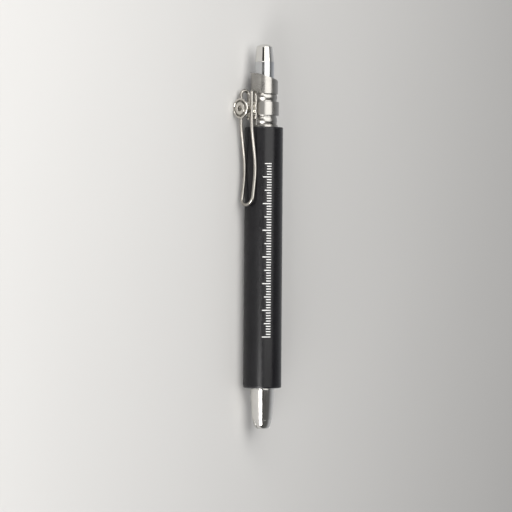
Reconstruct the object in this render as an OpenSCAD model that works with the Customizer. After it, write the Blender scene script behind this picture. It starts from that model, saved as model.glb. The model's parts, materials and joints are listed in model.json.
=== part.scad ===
// Clutch lead holder for thick artist leads, lying on a table.
//
// Every sub-part is drawn in the holder's own frame: Z runs up the holder's axis from the
// closed tip of the jaws, and +X points from that axis to the stud of the pocket clip.
// placed() then lays the holder down: its axis runs along Y, its push button points to +Y,
// and it rests on its barrel and on the rim of the stud's head.

/* [Barrel] */
// Radius of the barrel
barrel_r = 7.2; // [6.8:0.1:7.2]
// Length of the barrel
barrel_len = 98.2; // [92:0.1:110]
// Radius of the rounding on both ends of the barrel
barrel_edge = 0.5; // [0.2:0.1:0.8]

/* [Nose cone] */
// Length of the part of the cone that shows
nose_len = 11.7; // [10.5:0.1:12.5]
// Outer radius of the cone where it meets the barrel
nose_top_r = 4.6; // [4.5:0.05:5]
// Outer radius of the cone at its mouth
nose_mouth_r = 3.75; // [3.7:0.05:3.9]
// How far the cone's side bulges out at mid length
nose_bulge = 0.1; // [0:0.05:0.2]
// Gap between the cone's rim and the barrel's shoulder
nose_gap = 0.3; // [0.1:0.05:0.4]

/* [Collet] */
// Length of the jaws' heads, which stand out of the cone's mouth
jaw_head_len = 3.5; // [3.2:0.1:3.6]
// Radius of the jaws' heads when closed
jaw_head_r = 3.4; // [3.3:0.05:3.4]
// Radius of the mouth's bore
mouth_bore_r = 3.4; // [3.38:0.01:3.5]
// Radius of the opening left between the closed jaws at their tip
jaw_tip_hole_r = 1.3; // [1.2:0.1:1.5]
// Angle that each jaw covers
jaw_angle = 116; // [108:1:117]

/* [Feed tube] */
// Outer radius of the feed tube
tube_r = 3.66; // [3.6:0.01:3.68]
// Radius of the feed tube's bore
tube_bore_r = 2.9; // [2.88:0.01:2.95]
// Length of the tube above the middle of the collar's slanted end
tube_show = 5.7; // [5.5:0.1:8]

/* [Lead] */
// Radius of the lead
lead_r = 2.8; // [2:0.1:2.8]
// Length of the lead
lead_len = 107; // [20:1:107]

/* [Push cap] */
// Length of the push cap
cap_len = 6.8; // [6.6:0.1:8]
// Radius of the cap where it meets the tube
cap_low_r = 3.62; // [3.5:0.01:3.66]
// Radius of the cap at the edge of its domed end
cap_high_r = 3.05; // [3.0:0.05:3.2]
// Height of the cap's dome
cap_dome = 1.1; // [0.5:0.05:1.3]

/* [Collar] */
// Length of the collar that shows, up to the middle of its slanted end
collar_len = 18.8; // [18.5:0.1:20]
// Radius of the collar's sleeve
sleeve_r = 5.15; // [5.1:0.01:5.3]
// Radius of the collar's middle band
band_r = 5.58; // [5.5:0.01:5.6]
// Radius of the rounded beads above and below the band
bead_r = 4.95; // [4.85:0.01:4.95]
// Slope of the slanted end
slant_angle = 17; // [0:1:20]
// Direction of the slanted end's high side, counted from the stud
slant_turn = -22; // [-45:1:45]

/* [Clip] */
// Radius of the clip's wire
wire_r = 0.6; // [0.5:0.01:0.62]
// Half the distance between the clip's two legs
leg_half_gap = 2.85; // [2.8:0.05:3]
// Distance from the holder's axis to the straight part of the legs
leg_out = 9.4; // [9.38:0.01:9.45]
// Distance from the holder's axis to the legs where they come closest to the barrel
leg_in = 7.34; // [7.34:0.02:7.8]
// Height of the stud above the barrel's upper end
stud_up = 6.65; // [6.6:0.05:6.8]
// Radius of the stud's head
head_r = 3.86; // [3.6:0.01:4]
// Distance from the holder's axis to the face of the stud's head
head_out = 12.9; // [12.6:0.1:13.2]

/* [Spring] */
// Radius of the spring's wire
spring_wire_r = 0.3; // [0.25:0.01:0.3]
// Number of turns of the spring
spring_turns = 9; // [6:1:12]

/* [Hidden] */
$fn = 96;

// Heights along the holder's axis
mouth_z = jaw_head_len;
nose_top_z = mouth_z + nose_len;
barrel_z = nose_top_z + nose_gap;
collar_z = barrel_z + barrel_len;
slant_z = collar_z + collar_len;
tube_top_z = slant_z + tube_show;
total_len = tube_top_z + cap_len;
stud_z = collar_z + stud_up;

// Fits: screwed or pressed pieces leave screw_gap, sliding pieces leave run_gap
screw_gap = 0.05;
run_gap = 0.08;
// Overlap of cutting shapes past the surface they cut
cut = 1;

// Barrel, liner and shanks
liner_r = 5.05;
liner_bore_r = 4.5;
lip_len = 2;
lip_bore_r = nose_top_r + 0.15;
shank_len = 9.7;
liner_z = barrel_z + lip_len;
liner_top_z = collar_z - shank_len;
collar_shank_r = 5.45;
nose_shank_r = liner_bore_r - screw_gap;
nose_shank_top_z = barrel_z + 11.5;

// Collet: the jaws turn about their roots, just in front of the sleeve
root_z = 22;
root_gap = 0.12;
root_r = 3.3;
finger_wall = 0.4;
finger_taper = 0.07;
head_back_z = 6.6;
sleeve_len = 5;
spigot_len = 4;
spigot_r = 3.2;

// Spring
seat_thick = 0.5;
spring_mid_r = 4.06;
stop_z = 50;
stop_len = 2.5;
stop_r = 4.35;

// Collar
collar_bore_r = 4.55;
groove_r = 4.6;
base_len = 0.85;
band_low = 4.3;
band_high = 9.5;
sleeve_low = 12.5;
neck_len = 0.45;
band_chamfer = 0.15;

// Clip and stud, as distances from the holder's axis
saddle_in = 4.95;
saddle_out = 5.62;
saddle_half_w = 1.7;
return_out = 6.3;
return_half_gap = 1.85;
washer_in = 6.96;
washer_out = 7.6;
washer_r = 3.2;
boss_out = 8.55;
boss_r = 2.62;
neck_r = 2;
neck_out = head_out - 1.4;
head_rim = 0.42;
head_dome = 0.06;
button_r = 2.35;
screw_r = 1.1;
screw_tip = 4.65;
hook_z = stud_z + 5.3;
hook_r = (leg_out - return_out) / 2;
hook_mid = (leg_out + return_out) / 2;
joint_angle = 2.2;
bend_z = hook_z - 38.5;
bend_out = 8.5;
bend_slope = 0.25;
wire_sides = 10;

// Sharpener in the cap
core_r = 2.82;
core_z = tube_top_z - 4.7;
core_len = 8.9;
core_mouth_r = 2.4;
core_point_r = 0.2;
core_cone_len = 8;
blade_len = 5.6;
blade_w = 1.9;
blade_thick = 0.25;

// The holder rests on its barrel and on the rounded rim of the stud's head
rim_out = head_out - head_dome - head_rim;
rim_r = head_r - head_rim;
lean = asin((barrel_r - head_rim) / norm([rim_out, rim_r])) - atan2(rim_r, rim_out);
reach = rim_out * cos(lean) + rim_r * sin(lean) + head_rim;
axis_x = (reach - barrel_r) / 2;

// Lays the holder down on the table
module placed() {
    translate([axis_x, 0, barrel_r])
        rotate([0, 180 - lean, 0])
            rotate([-90, 0, 0])
                translate([0, 0, -total_len / 2])
                    children();
}

// Turns a shape drawn along Z so that it points from the holder's axis to the stud
module at_stud() {
    translate([0, 0, stud_z])
        rotate([0, 90, 0])
            children();
}

// A tube about the holder's axis
module ring(outer_r, inner_r, z, len) {
    translate([0, 0, z])
        difference() {
            cylinder(r = outer_r, h = len);
            translate([0, 0, -cut])
                cylinder(r = inner_r, h = len + 2 * cut);
        }
}

// Points of an arc in an outline
function arc(mid, r, from, to, steps = 6) =
    [for (i = [0 : steps])
        let (a = from + (to - from) * i / steps)
            mid + r * [cos(a), sin(a)]];

// Points of one rounded bead between two heights, from the groove's radius out and back
function bead(low_z, high_z, steps = 8) =
    [for (i = [0 : steps])
        [groove_r + (bead_r - groove_r) * sin(180 * i / steps),
         low_z + (high_z - low_z) * i / steps]];

// One point on the smooth curve through b and c, whose neighbours are a and d
function blend(a, b, c, d, t) =
    0.5 * (2 * b + (c - a) * t + (2 * a - 5 * b + 4 * c - d) * t * t
        + (3 * b - a - 3 * c + d) * t * t * t);

// A smooth curve through all the points
function smooth(points, steps) =
    let (last = len(points) - 1)
        [for (i = [0 : last - 1])
            for (j = [0 : steps - 1])
                blend(points[max(i - 1, 0)], points[i], points[i + 1],
                    points[min(i + 2, last)], j / steps),
         points[last]];

function unit(v) = v / norm(v);

// Part of v that is square to the direction t, at unit length
function squared(v, t) = unit(v - (v * t) * t);

// A round wire along a path
module wire(path, r, sides, first_side) {
    last = len(path) - 1;
    along = [for (i = [0 : last])
        unit(path[min(i + 1, last)] - path[max(i - 1, 0)])];
    side = [for (i = 0, s = squared(first_side, along[0]);
            i <= last;
            i = i + 1, s = squared(s, along[min(i, last)])) s];
    points = [for (i = [0 : last])
        for (k = [0 : sides - 1])
            let (a = 360 * k / sides)
                path[i] + r * (cos(a) * side[i] + sin(a) * cross(along[i], side[i]))];
    walls = [for (i = [0 : last - 1])
        for (k = [0 : sides - 1])
            let (low = i * sides, high = low + sides, next = (k + 1) % sides)
                for (face = [[low + k, high + next, low + next],
                             [low + k, high + k, high + next]])
                    face];
    start_cap = [for (k = [0 : sides - 1]) k];
    end_cap = [for (k = [sides - 1 : -1 : 0]) last * sides + k];
    polyhedron(points, concat(walls, [start_cap], [end_cap]));
}

// Black barrel, with a lip at its lower end that the cone's rim stands in front of
module barrel() {
    top_z = collar_z;
    color([0.09, 0.09, 0.10])
        placed()
            difference() {
                rotate_extrude()
                    polygon(concat(
                        [[0, barrel_z]],
                        arc([barrel_r - barrel_edge, barrel_z + barrel_edge], barrel_edge, -90, 0),
                        arc([barrel_r - barrel_edge, top_z - barrel_edge], barrel_edge, 0, 90),
                        [[0, top_z]]));
                translate([0, 0, barrel_z - cut])
                    cylinder(r = lip_bore_r, h = barrel_len / 2);
                translate([0, 0, liner_z])
                    cylinder(r = liner_r + screw_gap, h = barrel_len);
                translate([0, 0, liner_top_z])
                    cylinder(r = collar_shank_r + screw_gap, h = barrel_len);
            }
}

// Brass tube that lines the barrel and joins the nose cone to the collar
module barrel_liner() {
    color([0.80, 0.66, 0.36])
        placed()
            ring(liner_r, liner_bore_r, liner_z, liner_top_z - liner_z);
}

// Nose cone with the shank that screws into the liner
module nose_cone() {
    neck_z = nose_top_z;
    side_z = mouth_z + 0.1;
    side_len = neck_z - 0.45 - side_z;
    side = [
        for (t = [0 : 0.125 : 1])
            [nose_mouth_r + (nose_top_r - nose_mouth_r) * t + 4 * nose_bulge * t * (1 - t),
             side_z + side_len * t]];
    color([0.80, 0.80, 0.79])
        placed()
            difference() {
                rotate_extrude()
                    polygon(concat(
                        [[0, mouth_z],
                         [nose_mouth_r - 0.08, mouth_z]],
                        side,
                        [[nose_top_r + 0.08, neck_z - 0.4],
                         [nose_top_r + 0.08, neck_z],
                         [nose_shank_r - 0.3, neck_z],
                         [nose_shank_r - 0.3, barrel_z + 0.3],
                         [nose_shank_r, barrel_z + 0.5],
                         [nose_shank_r, nose_shank_top_z],
                         [0, nose_shank_top_z]]));
                translate([0, 0, mouth_z - cut])
                    cylinder(r = mouth_bore_r, h = nose_len + 20);
                translate([0, 0, barrel_z])
                    cylinder(r = tube_r + run_gap, h = 20);
            }
}

// Washer that the spring's lower end stands on
module spring_seat() {
    color([0.62, 0.62, 0.63])
        placed()
            ring(nose_shank_r - screw_gap, tube_r + run_gap, nose_shank_top_z, seat_thick);
}

// Return spring around the feed tube, with its end turns laid flat
module return_spring() {
    low_z = nose_shank_top_z + seat_thick + spring_wire_r;
    high_z = stop_z - spring_wire_r - 0.02;
    flat_turns = 0.9;
    wire_gap = 2.1 * spring_wire_r;
    rise = high_z - low_z - 2 * wire_gap;
    open_turns = spring_turns - 2 * flat_turns;
    function height(turn) =
        low_z + wire_gap * min(turn, flat_turns) / flat_turns
        + rise * max(0, min(turn - flat_turns, open_turns)) / open_turns
        + wire_gap * max(0, turn - spring_turns + flat_turns) / flat_turns;
    steps = 18;
    path = [for (i = [0 : steps * spring_turns])
        let (turn = i / steps)
            [spring_mid_r * cos(360 * turn), spring_mid_r * sin(360 * turn), height(turn)]];
    color([0.55, 0.56, 0.58])
        placed()
            wire(path, spring_wire_r, 8, [0, 0, 1]);
}

// Collar: shank, beads, middle band and a sleeve with a slanted end
module collar() {
    z = collar_z;
    outline = concat(
        [[0, z - shank_len],
         [collar_shank_r, z - shank_len],
         [collar_shank_r, z],
         [sleeve_r, z],
         [sleeve_r, z + base_len - 0.1],
         [sleeve_r - 0.1, z + base_len]],
        bead(z + base_len + 0.1, z + band_low - neck_len),
        [[groove_r, z + band_low],
         [band_r - band_chamfer, z + band_low],
         [band_r, z + band_low + band_chamfer],
         [band_r, z + band_high - band_chamfer],
         [band_r - band_chamfer, z + band_high],
         [groove_r, z + band_high]],
        bead(z + band_high + neck_len, z + sleeve_low - 0.05),
        [[sleeve_r - 0.1, z + sleeve_low],
         [sleeve_r, z + sleeve_low + 0.1],
         [sleeve_r, slant_z + 4],
         [0, slant_z + 4]]);
    color([0.74, 0.73, 0.71])
        placed()
            difference() {
                rotate_extrude()
                    polygon(outline);
                translate([0, 0, z - shank_len - cut])
                    cylinder(r = collar_bore_r, h = 50);
                translate([0, 0, slant_z])
                    rotate([0, 0, slant_turn])
                        rotate([0, -slant_angle, 0])
                            translate([-20, -20, 0])
                                cube([40, 40, 20]);
                saddle_block(0.02);
                at_stud()
                    cylinder(r = screw_r + 0.02, h = 20);
            }
}

// Block on the collar that carries the stud, grown by a gap where it is let in
module saddle_block(gap) {
    low_z = collar_z + 0.4;
    high_z = collar_z + sleeve_low - 0.1;
    translate([saddle_in, -saddle_half_w - gap, low_z - gap])
        cube([saddle_out - saddle_in, 2 * (saddle_half_w + gap), high_z - low_z + 2 * gap]);
}

// Bush in the collar that guides the feed tube
module guide_bush() {
    color([0.20, 0.20, 0.21])
        placed()
            ring(collar_bore_r - screw_gap, tube_r + run_gap, collar_z - 7.7, 23);
}

// Bar under the stud that bridges the collar's grooves
module clip_saddle() {
    color([0.74, 0.73, 0.71])
        placed()
            difference() {
                saddle_block(0);
                at_stud()
                    cylinder(r = screw_r + screw_gap, h = 20);
            }
}

// Washer that clamps the ends of the clip's wire
module stud_washer() {
    color([0.76, 0.75, 0.72])
        placed()
            at_stud()
                ring(washer_r, screw_r + screw_gap, washer_in, washer_out - washer_in);
}

// Screw with the round head that the clip's legs pass under
module stud_screw() {
    outline = concat(
        [[0, screw_tip],
         [screw_r - 0.15, screw_tip],
         [screw_r, screw_tip + 0.15],
         [screw_r, washer_out + 0.01],
         [boss_r - 0.15, washer_out + 0.01],
         [boss_r, washer_out + 0.16],
         [boss_r, boss_out - 0.25],
         [boss_r - 0.25, boss_out],
         [neck_r, boss_out],
         [neck_r, neck_out]],
        arc([rim_r, rim_out], head_rim, -60, 180, 12),
        [[button_r + 0.1, rim_out],
         [button_r, rim_out + 0.1],
         [button_r, head_out - 0.12],
         [button_r - 0.12, head_out],
         [1.15, head_out],
         [1, head_out - 0.15],
         [1, head_out - 0.85],
         [0, head_out - 1]]);
    color([0.78, 0.76, 0.72])
        placed()
            at_stud()
                rotate_extrude()
                    polygon(outline);
}

// Path of one hook over the collar, at an angle from the clamped end (0) to the leg (180)
function hook(a, side) =
    [hook_mid - hook_r * cos(a),
     side * (return_half_gap + (leg_half_gap - return_half_gap) * a / 180),
     hook_z + hook_r * sin(a)];

// Two clamped ends of the clip's wire, up to the tops of its hooks
module clip_wire_ends() {
    // Each point is the distance from the holder's axis and the height below the hook's centre
    tail = smooth([[6.65, 9.1], [6.4, 8.5], [return_out, 7.9], [return_out, 4.5], [return_out, 0]], 3);
    color([0.76, 0.72, 0.66])
        placed()
            for (side = [-1, 1])
                wire(concat(
                    [for (p = tail) [p[0], side * return_half_gap, hook_z - p[1]]],
                    [for (i = [1 : 6]) hook((90 - joint_angle) * i / 6, side)]),
                    wire_r, wire_sides, [0, 1, 0]);
}

// Spring part of the clip: the hooks' outer halves, both legs and the bend that joins them
module clip_wire() {
    // Each point is the distance from the holder's axis and the height below the hook's centre
    leg = smooth([[leg_out, 0], [leg_out, 8], [9.1, 13], [8.3, 18.2], [leg_in + 0.18, 24],
                  [leg_in, 28.6], [leg_in + 0.35, 32.8], [8.2, 36.6], [bend_out, hook_z - bend_z]], 3);
    half = function(side) concat(
        [for (i = [0 : 5]) hook(90 + joint_angle + (90 - joint_angle) * i / 6, side)],
        [for (p = leg) [p[0], side * leg_half_gap, hook_z - p[1]]]);
    bend = [for (a = [15 : 15 : 165])
        let (drop = leg_half_gap * sin(a))
            [bend_out + bend_slope * drop, -leg_half_gap * cos(a), bend_z - drop]];
    right = half(1);
    path = concat(half(-1), bend, [for (i = [len(right) - 1 : -1 : 0]) right[i]]);
    color([0.76, 0.72, 0.66])
        placed()
            wire(path, wire_r, wire_sides, [0, 1, 0]);
}

// Feed tube that the lead stands in, counterbored for the collet's spigot
module feed_tube() {
    low_z = root_z + sleeve_len;
    color([0.76, 0.76, 0.75])
        placed()
            difference() {
                translate([0, 0, low_z])
                    cylinder(r = tube_r, h = tube_top_z - low_z);
                translate([0, 0, low_z - cut])
                    cylinder(r = tube_bore_r, h = total_len);
                translate([0, 0, low_z - cut])
                    cylinder(r = spigot_r + screw_gap, h = cut + spigot_len);
            }
}

// Ring on the feed tube that the spring pushes against
module stop_ring() {
    color([0.80, 0.66, 0.36])
        placed()
            ring(stop_r, tube_r + 0.01, stop_z, stop_len);
}

// Root of the collet, with the spigot that screws into the feed tube
module collet_sleeve() {
    color([0.80, 0.66, 0.36])
        placed()
            difference() {
                union() {
                    translate([0, 0, root_z])
                        cylinder(r = tube_r, h = sleeve_len);
                    translate([0, 0, root_z + sleeve_len - 0.5])
                        cylinder(r = spigot_r, h = spigot_len + 0.5);
                }
                translate([0, 0, root_z - cut])
                    cylinder(r = tube_bore_r, h = 20);
            }
}

// One jaw of the collet: a finger that ends in a domed head
module collet_jaw(turn) {
    top_z = root_z - root_gap;
    finger_low_r = root_r - finger_taper * (top_z - head_back_z);
    // The dome falls from the head's full radius to the rim of the tip's hole
    dome_low_r = jaw_tip_hole_r + 0.15;
    dome_top_z = mouth_z - 0.25;
    dome = [for (i = [0 : 8])
        let (a = 90 * i / 8)
            [dome_low_r + (jaw_head_r - dome_low_r) * pow(sin(a), 0.9),
             dome_top_z * (1 - cos(a))]];
    outline = concat(
        [[jaw_tip_hole_r, 0]],
        dome,
        [[jaw_head_r, mouth_z - 0.15],
         [jaw_head_r - 0.08, mouth_z + 0.03],
         [finger_low_r, head_back_z],
         [root_r, top_z],
         [root_r - finger_wall, top_z]]);
    color([0.82, 0.81, 0.79])
        placed()
            rotate([0, 0, turn - jaw_angle / 2])
                rotate_extrude(angle = jaw_angle)
                    polygon(outline);
}

module collet_jaw_1() {
    collet_jaw(60);
}

module collet_jaw_2() {
    collet_jaw(180);
}

module collet_jaw_3() {
    collet_jaw(300);
}

// Polished cap on the end of the feed tube, hollow for the sharpener
module push_cap() {
    dome_sphere = (cap_high_r * cap_high_r + cap_dome * cap_dome) / (2 * cap_dome);
    dome_angle = asin(cap_high_r / dome_sphere);
    color([0.83, 0.83, 0.82])
        placed()
            difference() {
                rotate_extrude()
                    polygon(concat(
                        [[0, tube_top_z],
                         [cap_low_r - 0.08, tube_top_z],
                         [cap_low_r, tube_top_z + 0.08]],
                        arc([0, total_len - dome_sphere], dome_sphere, 90 - dome_angle, 90)));
                translate([0, 0, tube_top_z - cut])
                    cylinder(r = core_r + 0.03, h = cut + core_z + core_len - tube_top_z + 0.02);
            }
}

// Slot for the sharpener's blade, which lies along the side of the cone
module blade_block(gap) {
    half_angle = atan((core_mouth_r - core_point_r) / core_cone_len);
    translate([core_mouth_r - 0.25, 0, core_z + 0.8])
        rotate([0, -half_angle, 0])
            translate([-gap, -blade_w / 2 - gap, -gap])
                cube([blade_thick + 2 * gap, blade_w + 2 * gap, blade_len + 2 * gap]);
}

// Sharpener: a plug with a conical hollow, which also holds the cap in the tube
module sharpener_core() {
    color([0.15, 0.15, 0.16])
        placed()
            difference() {
                translate([0, 0, core_z])
                    cylinder(r = core_r, h = core_len);
                translate([0, 0, core_z - 0.001])
                    cylinder(r1 = core_mouth_r, r2 = core_point_r, h = core_cone_len);
                blade_block(0.02);
            }
}

// Blade of the sharpener
module sharpener_blade() {
    color([0.68, 0.69, 0.71])
        placed()
            blade_block(0);
}

// Thick graphite lead in the feed tube
module lead() {
    low_z = root_z + 0.3;
    color([0.16, 0.16, 0.17])
        placed()
            rotate_extrude()
                polygon([
                    [0, low_z],
                    [lead_r - 0.2, low_z],
                    [lead_r, low_z + 0.2],
                    [lead_r, low_z + lead_len - 0.2],
                    [lead_r - 0.2, low_z + lead_len],
                    [0, low_z + lead_len]]);
}

barrel();
barrel_liner();
nose_cone();
spring_seat();
return_spring();
collar();
guide_bush();
clip_saddle();
stud_washer();
stud_screw();
clip_wire_ends();
clip_wire();
feed_tube();
stop_ring();
collet_sleeve();
collet_jaw_1();
collet_jaw_2();
collet_jaw_3();
push_cap();
sharpener_core();
sharpener_blade();
lead();
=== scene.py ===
"""Looks of a clutch lead holder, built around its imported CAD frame.

Sizes are in millimetres in the holder's own frame: z runs up the holder's axis from the tip
of the closed jaws, x points from that axis to the stud of the clip, and y is square to both.
place() turns such a point into metres in the row frame, where the holder lies on the floor.
"""
import json
import math

import bmesh
import bpy
from mathutils import Matrix, Vector


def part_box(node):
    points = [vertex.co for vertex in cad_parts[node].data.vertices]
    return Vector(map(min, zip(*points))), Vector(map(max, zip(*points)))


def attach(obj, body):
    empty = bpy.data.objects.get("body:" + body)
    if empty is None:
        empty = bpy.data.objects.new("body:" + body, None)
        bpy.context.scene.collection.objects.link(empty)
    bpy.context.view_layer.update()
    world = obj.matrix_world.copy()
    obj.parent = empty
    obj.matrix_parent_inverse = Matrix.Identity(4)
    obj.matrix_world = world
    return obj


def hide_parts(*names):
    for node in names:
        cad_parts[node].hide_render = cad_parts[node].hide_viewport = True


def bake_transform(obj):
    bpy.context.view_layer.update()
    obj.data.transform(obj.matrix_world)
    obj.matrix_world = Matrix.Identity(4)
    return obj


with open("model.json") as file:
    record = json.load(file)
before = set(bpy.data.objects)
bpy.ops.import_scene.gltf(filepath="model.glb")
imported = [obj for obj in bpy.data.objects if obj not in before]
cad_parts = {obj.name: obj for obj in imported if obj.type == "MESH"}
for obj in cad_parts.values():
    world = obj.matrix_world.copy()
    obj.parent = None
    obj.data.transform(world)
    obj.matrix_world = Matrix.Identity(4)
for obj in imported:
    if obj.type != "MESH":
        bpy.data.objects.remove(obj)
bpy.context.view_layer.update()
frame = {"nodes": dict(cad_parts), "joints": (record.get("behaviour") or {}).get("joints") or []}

MM = 0.001
TURN = 2 * math.pi
UV_NAME = "Surface"
joints = {joint["name"]: joint for joint in frame["joints"]}

# The holder's own frame
ALONG = Vector((0, 1, 0))
SIDE = -Vector(joints["clip_lift"]["axis"]).normalized()
OUT = SIDE.cross(ALONG)
barrel_low, barrel_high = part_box("barrel")
TIP = Vector((
    (barrel_low.x + barrel_high.x) / 2,
    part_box("collet_jaw_1")[0].y,
    (barrel_low.z + barrel_high.z) / 2,
))


def place(x, y, z):
    """A point of the holder's own frame, in the row frame."""
    return TIP + (OUT * x + SIDE * y + ALONG * z) * MM


def height(node, end):
    """Height of a CAD node's lower (0) or upper (1) end above the holder's tip."""
    return (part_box(node)[end].y - TIP.y) / MM


# Heights that the CAD nodes give
MOUTH_Z = height("nose_cone", 0)
BARREL_Z = height("barrel", 0)
COLLAR_Z = height("barrel", 1)
TUBE_LOW_Z = height("feed_tube", 0)
TUBE_TOP_Z = height("feed_tube", 1)
CAP_TOP_Z = height("push_cap", 1)
LINER_Z = height("barrel_liner", 0)
LINER_TOP_Z = height("barrel_liner", 1)
SHANK_TOP_Z = height("spring_seat", 0)
JAW_ROOT_Z = height("collet_jaw_1", 1)
SADDLE_Z = height("clip_saddle", 0)
SADDLE_TOP_Z = height("clip_saddle", 1)
STUD_Z = (height("stud_washer", 0) + height("stud_washer", 1)) / 2

# Barrel and the scale printed on it
BARREL_R = (barrel_high.z - barrel_low.z) / 2 / MM
LIP_BORE_R = 4.75
LINER_SEAT_R = 5.1
SHANK_SEAT_R = 5.5
SCALE_LOW_Z = BARREL_Z + 19.3
SCALE_MARKS = 66
SCALE_TURN = math.radians(61.7)
MARK_END = 1.0
MARK_THICK = 0.36
MARK_SUNK = -0.01
MARK_PROUD = 0.012
MARK_STEPS = 8

# Nose cone and jaws
MOUTH_BORE_R = 3.4
MOUTH_R = 3.75
CONE_TOP_R = 4.6
CONE_RIM_R = 4.68
CONE_RIM_Z = BARREL_Z - 0.3
CONE_SHANK_R = 4.45
JAW_HEAD_R = 3.4
JAW_SECTOR = math.radians(116)
JAW_STEPS = 36

# Feed tube and push cap
TUBE_R = 3.66
TUBE_BORE_R = 2.9
SPIGOT_SEAT_R = 3.25
SPIGOT_SEAT_Z = TUBE_LOW_Z + 4
CAP_LOW_R = 3.62
CAP_HIGH_R = 3.05
CAP_BORE_R = 2.85
CAP_BORE_Z = TUBE_TOP_Z + 4.3
CAP_DOME = 1.1

# Collar, from the barrel's end to the slanted end
COLLAR_SHANK_R = 5.45
COLLAR_BORE_R = 4.55
SLEEVE_R = 5.15
GROOVE_R = 4.6
BEAD_R = 4.95
BAND_R = 5.58
LOWER_BEAD = (COLLAR_Z + 0.95, COLLAR_Z + 3.85)
BAND_Z = (COLLAR_Z + 4.3, COLLAR_Z + 9.5)
UPPER_BEAD = (COLLAR_Z + 9.95, COLLAR_Z + 12.45)
SLEEVE_Z = COLLAR_Z + 12.5
SLANT_Z = COLLAR_Z + 18.8
SLANT_SLOPE = math.tan(math.radians(17))
SLANT_TURN = math.radians(-22)

# Saddle, washer and stud. A name with OUT in it is a distance from the holder's axis
SADDLE_OUT = 5.62
WASHER_OUT = 7.6
STUD_FACE_OUT = 12.9
SCREW_R = 1.1
RIM_R = 0.42
RIM_MID_R = 3.44
RIM_MID_OUT = STUD_FACE_OUT - 0.48

# Clip
WIRE_R = 0.6
LEG_OUT = 9.4
LEG_END_OUT = 8.5
LEG_DROP = 38.5
RETURN_OUT = 6.3
LEG_HALF_GAP = 2.85
RETURN_HALF_GAP = 1.85
HOOK_Z = STUD_Z + 5.3
HOOK_R = (LEG_OUT - RETURN_OUT) / 2
HOOK_MID = (LEG_OUT + RETURN_OUT) / 2

# Nearly all values of a noise texture lie between these
NOISE_LOW = 0.3
NOISE_HIGH = 0.7


# Outlines and meshes

def arc(mid, radius, start, end, steps):
    """Points of an arc, with its angles in degrees."""
    points = []
    for step in range(steps + 1):
        angle = math.radians(start + (end - start) * step / steps)
        x = mid[0] + radius * math.cos(angle)
        y = mid[1] + radius * math.sin(angle)
        points.append(Vector((x, y)))
    return points


def turned(arm, angle):
    """A flat vector, turned by an angle."""
    return Vector((
        arm.x * math.cos(angle) - arm.y * math.sin(angle),
        arm.x * math.sin(angle) + arm.y * math.cos(angle),
    ))


def rounded(corners, closed=True, steps=5):
    """Outline through corners given as (r, z, fillet radius). A point beside each end of a fillet
    keeps the flat walls flat under smooth shading."""
    outline = []
    count = len(corners)
    for index, (r, z, fillet) in enumerate(corners):
        here = Vector((r, z))
        is_end = not closed and index in (0, count - 1)
        if is_end or fillet == 0:
            outline.append(here)
            continue
        back = (Vector(corners[index - 1][:2]) - here).normalized()
        ahead = (Vector(corners[(index + 1) % count][:2]) - here).normalized()
        half = back.angle(ahead) / 2
        reach = fillet / math.tan(half)
        mid = here + (back + ahead).normalized() * (fillet / math.sin(half))
        first = here + back * reach - mid
        sweep_angle = first.angle_signed(here + ahead * reach - mid)
        guard = 0.4 * fillet
        outline.append(mid + first + back * guard)
        for step in range(steps + 1):
            outline.append(mid + turned(first, -sweep_angle * step / steps))
        outline.append(here + ahead * (reach + guard))
    return outline


def on_axis(r, angle, z):
    """A point of a piece that is turned about the holder's axis."""
    return place(r * math.cos(angle), r * math.sin(angle), z)


def on_stud(r, angle, out):
    """A point of a piece that is turned about the stud's axis."""
    return place(out, r * math.sin(angle), STUD_Z - r * math.cos(angle))


def mesh_object(name, points, faces, uvs, sharp_degrees=35):
    """A smooth-shaded object from points, faces and each face corner's (turn, length)."""
    mesh = bpy.data.meshes.new(name)
    mesh.from_pydata(points, [], faces)
    layer = mesh.uv_layers.new(name=UV_NAME)
    corners = [uv for face_uvs in uvs for uv in face_uvs]
    for corner, uv in zip(layer.data, corners):
        corner.uv = uv
    work = bmesh.new()
    work.from_mesh(mesh)
    bmesh.ops.recalc_face_normals(work, faces=work.faces)
    work.to_mesh(mesh)
    work.free()
    mesh.shade_smooth()
    mesh.set_sharp_from_angle(angle=math.radians(sharp_degrees))
    piece = bpy.data.objects.new(name, mesh)
    bpy.context.scene.collection.objects.link(piece)
    return piece


def lengths(points):
    """Length along a path up to each of its points."""
    run = [0.0]
    for before, after in zip(points, points[1:]):
        run.append(run[-1] + (after - before).length)
    return run


def lathe_rows(outline, where, segments, shift):
    """Points of a turned piece, and for each point of its outline the row of their indices.
    A point on the axis is used all round."""
    points = []
    rows = []
    for r, z in outline:
        if r < 1e-6:
            rows.append([len(points)] * segments)
            points.append(where(0, 0, z))
            continue
        rows.append(list(range(len(points), len(points) + segments)))
        for step in range(segments):
            angle = TURN * step / segments
            rise = shift(r, z, angle) if shift else 0
            points.append(where(r, angle, z + rise))
    return points, rows


def lathe(name, outline, closed=True, where=on_axis, segments=128, shift=None):
    """A turned piece. A closed outline makes a ring; an open one starts and ends on the axis.
    shift(r, z, angle) may raise a point, as on a slanted end."""
    run = lengths(outline + [outline[0]] if closed else outline)
    points, rows = lathe_rows(outline, where, segments, shift)
    if closed:
        rows.append(rows[0])
    faces = []
    uvs = []
    for row in range(len(rows) - 1):
        low, high = rows[row], rows[row + 1]
        for step in range(segments):
            ahead = (step + 1) % segments
            quad = [low[step], low[ahead], high[ahead], high[step]]
            turns = [step, step + 1, step + 1, step]
            levels = [run[row], run[row], run[row + 1], run[row + 1]]
            keep = [i for i in range(4) if quad[i] not in quad[:i]]
            faces.append([quad[i] for i in keep])
            uvs.append([(turns[i] / segments, levels[i]) for i in keep])
    return mesh_object(name, points, faces, uvs)


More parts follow.
